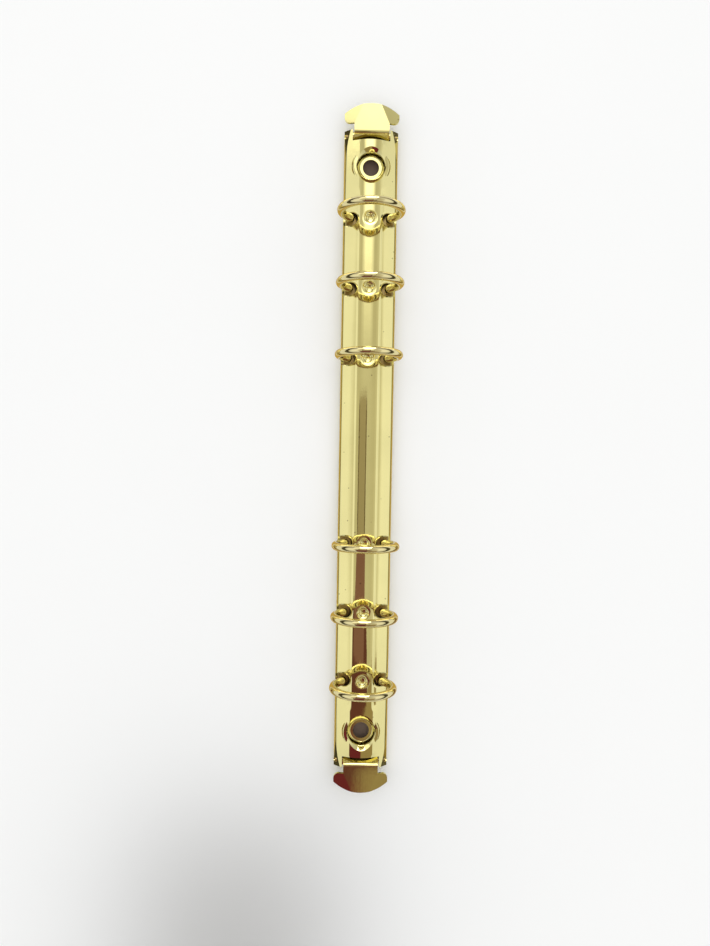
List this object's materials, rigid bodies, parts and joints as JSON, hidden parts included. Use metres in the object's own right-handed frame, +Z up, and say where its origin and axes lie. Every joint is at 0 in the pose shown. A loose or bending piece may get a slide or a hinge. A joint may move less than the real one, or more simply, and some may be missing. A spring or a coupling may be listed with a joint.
{
  "type": "ring binder mechanism",
  "caption": "Loose-leaf ring binder mechanism: long arched metal housing, opening wire rings in two groups, a thumb lever and a dished mounting hole at each end.",
  "frame": {"origin": "middle of the mechanism on the plane of the housing's curled rims", "axes": "X across the housing, +Y along it towards lever_top, +Z up through the rings"},
  "size_m": [0.018, 0.188, 0.0195],
  "materials": {
    "housing_brass": "polished",
    "plate_brass": "satin",
    "ring_brass": "polished",
    "lever_brass": "polished",
    "pin_brass": "satin"
  },
  "bodies": {
    "cover": {"housing": "housing_brass", "lever_pin_top": "pin_brass", "lever_pin_bottom": "pin_brass"},
    "left_half": {"hinge_plate_left": "plate_brass", "ring_left_1": "ring_brass", "ring_left_2": "ring_brass", "ring_left_3": "ring_brass", "ring_left_4": "ring_brass", "ring_left_5": "ring_brass", "ring_left_6": "ring_brass"},
    "right_half": {"hinge_plate_right": "plate_brass", "ring_right_1": "ring_brass", "ring_right_2": "ring_brass", "ring_right_3": "ring_brass", "ring_right_4": "ring_brass", "ring_right_5": "ring_brass", "ring_right_6": "ring_brass"},
    "top_lever": {"lever_top": "lever_brass"},
    "bottom_lever": {"lever_bottom": "lever_brass"}
  },
  "joints": [
    {"name": "left_half_swing", "type": "hinge", "parent": "cover", "child": "left_half", "pos_m": [-0.00635, 0, 0.002], "axis": [0, -1, 0], "range_deg": [0, 16]},
    {"name": "right_half_swing", "type": "hinge", "parent": "cover", "child": "right_half", "pos_m": [0.00635, 0, 0.002], "axis": [0, 1, 0], "range_deg": [0, 16]},
    {"name": "top_lever_press", "type": "hinge", "parent": "cover", "child": "top_lever", "pos_m": [0, 0.08615, 0.0026], "axis": [-1, 0, 0], "range_deg": [0, 22.4]},
    {"name": "bottom_lever_press", "type": "hinge", "parent": "cover", "child": "bottom_lever", "pos_m": [0, -0.08615, 0.0026], "axis": [1, 0, 0], "range_deg": [0, 22.4]}
  ],
  "couplings": [
    {"joint": "right_half_swing", "follows": "left_half_swing", "ratio": 1},
    {"joint": "top_lever_press", "follows": "left_half_swing", "ratio": 1.4},
    {"joint": "bottom_lever_press", "follows": "left_half_swing", "ratio": 1.4}
  ]
}
